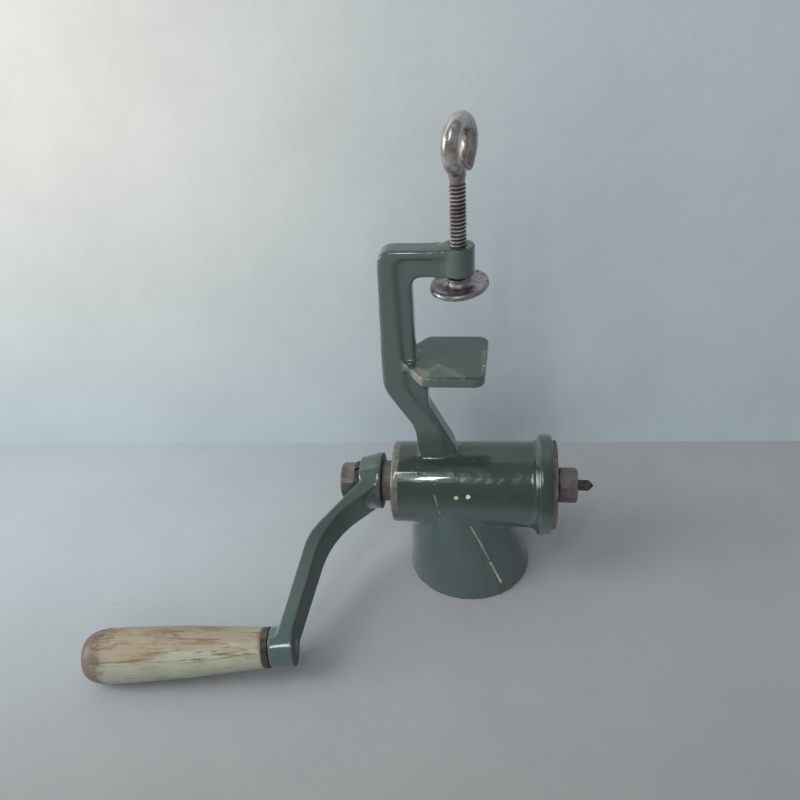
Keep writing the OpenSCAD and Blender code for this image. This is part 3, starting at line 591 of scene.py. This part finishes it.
def on_arm(co):
    """The clamp arm clear of the jaw: its outer edges are well rounded."""
    x, z = co[:, 0], co[:, 2]
    return (x < ARM_X) & (z > ARM_LOW) & ((z > JAW_CLEAR_Z) | (x < JAW_CLEAR_X))


def inside_crank(co):
    """The crank's hub, which is bored and faced."""
    return (np.hypot(co[:, 1], co[:, 2] - AXIS_Z) < HUB_BORE_R) & (co[:, 0] > HUB_X)


# ---------------------------------------------------------------- swept and turned pieces
def grid_mesh(name, rings, closed_ends=True):
    """Tube from rings of points, all with the same count."""
    n = len(rings[0])
    verts = [tuple(p) for ring in rings for p in ring]
    faces = []
    for i in range(len(rings) - 1):
        for k in range(n):
            a, b = n * i + k, n * i + (k + 1) % n
            faces.append((a, b, b + n, a + n))
    if closed_ends:
        for i, flip in ((0, True), (len(rings) - 1, False)):
            verts.append(tuple(np.mean(np.array(rings[i]), axis=0)))
            m = len(verts) - 1
            for k in range(n):
                a, b = n * i + k, n * i + (k + 1) % n
                faces.append((b, a, m) if flip else (a, b, m))
    mesh = bpy.data.meshes.new(name)
    mesh.from_pydata(verts, [], faces)
    mesh.validate()
    mesh.shade_smooth()
    return new_object(name, mesh)


def share(value):
    """The value, kept between 0 and 1."""
    return min(1.0, max(0.0, value))


def thread_rings(sides):
    """Rings of the threaded length, and the height where the plain neck goes on."""
    def flank(u):
        u = u - math.floor(u)
        return share((abs(2 * u - 1) - 0.16) / 0.68)

    depth_of_thread = THREAD_R - THREAD_ROOT_R
    rings = []
    z = THREAD_LOW + 0.02 * MM
    while z < THREAD_TOP + 0.2 * MM:
        fade = share((THREAD_TOP - z) / (0.8 * MM))
        start = share(0.25 + (z - THREAD_LOW) / (1.2 * MM))
        ring = []
        for k in range(sides):
            a = 2 * math.pi * k / sides
            r = THREAD_ROOT_R + depth_of_thread * flank(z / THREAD_LEAD - a / (2 * math.pi))
            r = r * fade + (1 - fade) * NECK_R
            r = min(r, THREAD_ROOT_R + depth_of_thread * start)
            ring.append((SCREW_X + r * math.cos(a), r * math.sin(a), z))
        rings.append(ring)
        z += THREAD_LEAD / 14
    return rings, z


def eye_line(z, low, fi):
    """The eye's middle line: (across, up, direction) up the neck, through the bend, round the loop
    and down its straight end."""
    line = []
    while z < low:
        line.append((0.0, z, 0.0))
        z += 0.8 * MM
    for i in range(13):
        a = fi * i / 12
        line.append((EYE_BEND_R * (math.cos(a) - 1), low + EYE_BEND_R * math.sin(a), a))
    steps = 72
    for i in range(1, steps + 1):
        a = math.pi + fi - (math.pi + fi + EYE_PAST) * i / steps
        line.append((EYE_SHIFT + EYE_R * math.cos(a), EYE_Z + EYE_R * math.sin(a), a - math.pi))
    x, z, way = line[-1]
    for i in range(1, 9):
        d = EYE_TAIL * i / 8
        line.append((x - math.sin(EYE_PAST) * d, z - math.cos(EYE_PAST) * d, way))
    return line


def clamp_screw():
    """Threaded bar with a bent eye, in one mesh."""
    sides = 64
    neck_points = 30
    rounded_end = (0.8, 0.93, 0.98)
    rings, z = thread_rings(sides)
    fi = math.acos((EYE_SHIFT + EYE_BEND_R) / (EYE_BEND_R + EYE_R))
    low = EYE_Z - (EYE_BEND_R + EYE_R) * math.sin(fi)
    line = eye_line(z, low, fi)
    ct, st = math.cos(EYE_TURN), math.sin(EYE_TURN)
    for i, (across, up, way) in enumerate(line):
        ease = share((up - (low - 3 * MM)) / (3 * MM)) if i < neck_points else 1.0
        r = NECK_R + (BAR_R - NECK_R) * ease
        left = len(line) - 1 - i
        if left < len(rounded_end):
            r = BAR_R * rounded_end[left]
        ring = []
        for k in range(sides):
            a = 2 * math.pi * k / sides
            sideways, depth = r * math.cos(a), r * math.sin(a)
            px = across + sideways * math.cos(way)
            pz = up + sideways * math.sin(way)
            ring.append((SCREW_X + px * ct - depth * st, px * st + depth * ct, pz))
        rings.append(ring)
    return grid_mesh("threaded_screw", rings)


def wooden_grip():
    """Turned grip with slight dents, swelling towards its free end, and its upward direction."""
    up = Vector((0, 0, 1))
    up = (up - GRIP_AXIS * up.dot(GRIP_AXIS)).normalized()
    side = GRIP_AXIS.cross(up)
    profile = [
        (3.3 * MM, 0.0),
        (GRIP_NECK_R - 0.9 * MM, 0.0),
        (GRIP_NECK_R - 0.3 * MM, 0.35 * MM),
        (GRIP_NECK_R, GRIP_EDGE),
    ]
    steps = 90
    for i in range(1, steps + 1):
        f = i / steps
        swell = (GRIP_BELLY_R - GRIP_NECK_R) * math.sin(math.pi / 2 * f)
        profile.append((GRIP_NECK_R + swell, GRIP_EDGE + (GRIP_BELLY - GRIP_EDGE) * f))
    steps = 28
    for i in range(1, steps + 1):
        a = math.pi / 2 * i / steps
        profile.append((
            GRIP_END_R + (GRIP_BELLY_R - GRIP_END_R) * math.cos(a),
            GRIP_BELLY + (GRIP_LEN - GRIP_BELLY) * math.sin(a),
        ))
    # The counterbore for the pin's head
    profile += [
        (8.1 * MM, GRIP_LEN),
        (6.9 * MM, GRIP_LEN - 0.1 * MM),
        (6.3 * MM, GRIP_LEN - 0.7 * MM),
        (6.14 * MM, GRIP_LEN - 4.2 * MM),
    ]
    sides = 96
    rings = []
    for r, h in profile:
        ring = []
        for k in range(sides):
            a = 2 * math.pi * k / sides
            dent = 0.0
            if r > 8 * MM:
                dent = DENT * (math.sin(3 * a + h * 60) * math.sin(h * 95 + a) - 1)
            out = (side * math.cos(a) + up * math.sin(a)) * (r + dent)
            ring.append(tuple(GRIP_FOOT + GRIP_AXIS * (GRIP_START + h) + out))
        rings.append(ring)
    return grid_mesh("turned_grip", rings, closed_ends=False), up


# ---------------------------------------------------------------- build
def dress(piece, body, node, mat):
    """Lets a piece stand for a CAD node on its body."""
    piece.data.materials.append(mat)
    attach(piece, body)
    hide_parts(node)


place_camera()

CREAM_WEAR_AND_HIGHLIGHT = srgb(188, 182, 158)
PAINTED_WHITE_HIGHLIGHT = srgb(214, 212, 204)
PINK = srgb(158, 142, 130)
SEAM = srgb(150, 165, 152)
WORN = srgb(134, 126, 114)
RUBBED = srgb(112, 124, 112)
PAINTED_GREEN_HIGHLIGHT = srgb(104, 138, 88)

body_enamel = enamel(
    "enamel_body",
    body=True,
    chips_and_highlights=[
        # Painted highlights: a cream and a white glint on the barrel's front
        (mm(-5.3, -24.3, 70.1), 1.2 * MM, CREAM_WEAR_AND_HIGHLIGHT),
        (mm(1.6, -24.0, 70.9), 1.3 * MM, PAINTED_WHITE_HIGHLIGHT),
        # A pink chip on the jaw
        (mm(10.5, -10, 151), 1.0 * MM, PINK),
    ],
    scuffs_and_highlights=[
        # The two parts of the hopper's seam, and a painted green highlight down the barrel's front
        (mm(3.3, -25.0, 48.6), mm(14.1, -27.4, 25.2), 0.55 * MM, SEAM, 0.85),
        (mm(14.7, -27.7, 23.0), mm(21.6, -28.8, 7.6), 0.85 * MM, CREAM_WEAR_AND_HIGHLIGHT, 1.0),
        (mm(-18.0, -24.0, 71.0), mm(-15.0, -24.9, 58.0), 0.8 * MM, PAINTED_GREEN_HIGHLIGHT, 0.75),
        # The jaw's rubbed corner, top and edge
        (mm(-25.5, -16.5, 151.4), mm(-22, -20, 151.4), 4.4 * MM, WORN, 0.6),
        (mm(-28, -19, 148.5), mm(-24.5, -22.5, 147), 3.6 * MM, WORN, 0.55),
        (mm(-21.5, -18, 151.5), mm(-14.5, -10.6, 151.5), 2.4 * MM, RUBBED, 0.4),
        (mm(-14.5, -10.6, 151.5), mm(-1, -21.7, 151.5), 2.4 * MM, RUBBED, 0.32),
        (mm(-18, -19, 151.5), mm(-8, -18, 151.5), 6.5 * MM, RUBBED, 0.2),
        (mm(10.8, 6, 151), mm(10.4, -19, 150), 2.2 * MM, WORN, 0.3),
    ],
)
crank_enamel = enamel("enamel_crank")
steel = iron("steel", srgb(150, 146, 143), srgb(94, 89, 87), srgb(92, 70, 60), 0.25)
dark_steel = iron("dark_steel", srgb(112, 106, 104), srgb(58, 54, 54), srgb(74, 58, 52), 0.4)
rusty_steel = iron("rusty_steel", srgb(156, 151, 151), srgb(90, 87, 89), srgb(112, 84, 78), 0.5,
                   rough=(0.26, 0.5), metallic=0.7)
plate_steel = iron("plate_steel", srgb(151, 143, 145), srgb(103, 95, 97), srgb(108, 84, 80), 0.5,
                   rough=(0.45, 0.7), metallic=0.4)
bare_iron = iron("bare_iron", srgb(146, 140, 134), srgb(98, 92, 88), srgb(96, 74, 62), 0.3,
                 rough=(0.35, 0.6))
bronze = iron("bronze", srgb(137, 130, 115), srgb(100, 93, 84), srgb(96, 82, 70), 0.25,
              rough=(0.4, 0.6), metallic=0.5)
pad_steel = iron("pad_steel", srgb(204, 196, 197), srgb(120, 112, 115), srgb(104, 82, 78), 0.28,
                 rough=(0.2, 0.42), metallic=0.95)
screw_steel = iron("screw_steel", srgb(226, 218, 214), srgb(140, 129, 125), srgb(112, 82, 68), 0.25,
                   rough=(0.16, 0.36), metallic=0.95, threaded=True)

casting = cast_copy("body_casting", 0.6 * MM, 4, 45, inside_casting, on_arm)
dress(casting, "frame", "body_casting", body_enamel)
crank = cast_copy("crank_arm", 0.5 * MM, 4, 30, inside_crank)
dress(crank, "drive", "crank_arm", crank_enamel)
dress(clamp_screw(), "screw", "clamp_screw", screw_steel)
grip, grip_up = wooden_grip()
wood = painted_wood(GRIP_FOOT + GRIP_AXIS * GRIP_START, GRIP_AXIS, grip_up)
dress(grip, "grip", "wooden_grip", wood)

for node, body, voxel, mat, slot in (
    ("end_nut", "drive", 0.22, rusty_steel, "rusty_steel"),
    ("crank_bolt", "drive", 0.25, rusty_steel, "rusty_steel"),
    ("lock_washer", "drive", 0.2, dark_steel, "dark_steel"),
    ("swivel_pad", "pad", 0.22, pad_steel, "dark_steel"),
):
    dress(cast_copy(node, voxel * MM, 4, 0), body, node, mat)

for node, mat in {
    "rear_bush": bronze,
    "thrust_washer": fibre(),
    "perforated_plate": plate_steel,
    "plate_key": steel,
    "feed_screw": bare_iron,
    "outlet_stud": dark_steel,
    "knife": steel,
    "nut_washer": steel,
    "grip_spindle": steel,
    "grip_washer": dark_steel,
    "grip_end_washer": dark_steel,
    "pad_ball": steel,
}.items():
    for holder in NODES[node].material_slots:
        holder.material = mat


# ---------------------------------------------------------------- floor, wall and light
def room_material(name, warm, cool, shade, fade, spots):
    """Old paint, with painted light: warm and lighter on the left, cool and dimmer to the right, and
    painted shade along the fade's direction.
    """
    m = Net(name)
    # Painted light: lighter on the left, dimmer to the right
    colour = m.mix(m.ramp(m.split()[0], -0.30, 0.10), warm, cool)
    direction, low, high = fade
    along = m.vmath("DOT_PRODUCT", m.coord, direction, out="Value")
    # Painted shade along the fade's direction
    colour = m.mix(m.ramp(along, low, high), colour, shade)
    colour = m.mix(m.ramp(m.noise(9, 5, 0.6), 0.35, 0.7, 0, 0.10), colour, srgb(120, 122, 126))
    speck = m.ramp(m.noise(180, 3, 0.7), 0.70, 0.76, 0, spots)
    colour = m.mix(speck, colour, srgb(96, 92, 90))
    m.set(
        Base_Color=colour,
        Roughness=0.75,
        Specular_IOR_Level=0.3,
        Normal=m.bump(m.noise(60, 5), 0.0015, 0.3),
    )
    return m.mat


def open_from_behind(mat):
    """Lets the views from behind the wall see the object."""
    nodes, links = mat.node_tree.nodes, mat.node_tree.links
    out = next(n for n in nodes if n.type == "OUTPUT_MATERIAL")
    shader = next(n for n in nodes if n.type == "BSDF_PRINCIPLED")
    clear = nodes.new("ShaderNodeBsdfTransparent")
    choice = nodes.new("ShaderNodeMixShader")
    links.new(nodes.new("ShaderNodeNewGeometry").outputs["Backfacing"], choice.inputs[0])
    links.new(shader.outputs[0], choice.inputs[1])
    links.new(clear.outputs[0], choice.inputs[2])
    links.new(choice.outputs[0], out.inputs["Surface"])


def slab(name, corners, mat):
    mesh = bpy.data.meshes.new(name)
    mesh.from_pydata([tuple(c) for c in corners], [], [(0, 1, 2, 3)])
    obj = new_object(name, mesh)
    obj.data.materials.append(mat)


def light_world():
    """Plain grey surroundings, somewhat brighter where they are seen or mirrored."""
    world = bpy.data.worlds.new("room")
    scene.world = world
    world.use_nodes = True
    nodes, links = world.node_tree.nodes, world.node_tree.links
    nodes.clear()
    out = nodes.new("ShaderNodeOutputWorld")
    background = nodes.new("ShaderNodeBackground")
    background.inputs[0].default_value = WORLD_COLOUR
    path = nodes.new("ShaderNodeLightPath")
    seen = path.outputs["Is Camera Ray"]
    for ray in ("Is Glossy Ray", "Is Transmission Ray"):
        either = nodes.new("ShaderNodeMath")
        either.operation = "MAXIMUM"
        links.new(seen, either.inputs[0])
        links.new(path.outputs[ray], either.inputs[1])
        seen = either.outputs[0]
    strength = nodes.new("ShaderNodeMapRange")
    strength.inputs["To Min"].default_value = WORLD_LIGHT
    strength.inputs["To Max"].default_value = WORLD_SEEN
    links.new(seen, strength.inputs["Value"])
    links.new(strength.outputs["Result"], background.inputs[1])
    links.new(background.outputs[0], out.inputs[0])


# Floor: painted light, lighter on the left, and painted shade towards the camera
floor_paint = room_material(
    "floor_paint", srgb(178, 185, 190), srgb(168, 169, 171), srgb(144, 145, 145),
    ((0, -1, 0), -0.04, 0.26), 0.5,
)
# Wall: painted light, bright and warm on the left, and painted bluish shade towards its foot
wall_paint = room_material(
    "wall_paint", srgb(238, 236, 228), srgb(190, 200, 204), srgb(186, 199, 205),
    ((0, 0, -1), -0.30, 0.08), 0.1,
)
open_from_behind(wall_paint)
slab("floor", [(FLOOR_REACH * sx, FLOOR_REACH * sy, 0) for sx, sy in ((-1, -1), (1, -1), (1, 1), (-1, 1))],
     floor_paint)
slab("wall", [WALL_A, WALL_B, WALL_B + WALL_RISE, WALL_A + WALL_RISE], wall_paint)

# name, place, aim, width and height, watts, colour; the panes are also seen in reflections
CENTRE = (0, 0, 0.1)
area_light("key", (-0.95, -0.45, 1.05), CENTRE, (0.7, 0.7), 8.7, (1.0, 0.99, 0.96), seen=False)
area_light("ceiling", (0.1, -0.3, 2.0), CENTRE, (2.2, 1.8), 3.5, (0.97, 0.99, 1.0), seen=False)
area_light("tall_pane", (-0.56, -1.5, 1.95), CENTRE, (0.15, 1.1), 5.5, (0.90, 0.96, 1.0))
area_light("low_pane", (-0.27, -1.49, 1.70), CENTRE, (0.07, 0.42), 2.4, (0.92, 0.97, 1.0))
area_light("fill", (-0.3, -1.6, 0.7), (0, 0, 0.15), (1.4, 1.0), 9.0, (1.0, 1.0, 1.0), seen=False)
area_light("side_pane", (-1.54, -0.27, 0.5), CENTRE, (0.5, 0.7), 8.5, (0.84, 0.93, 1.0))
light_world()
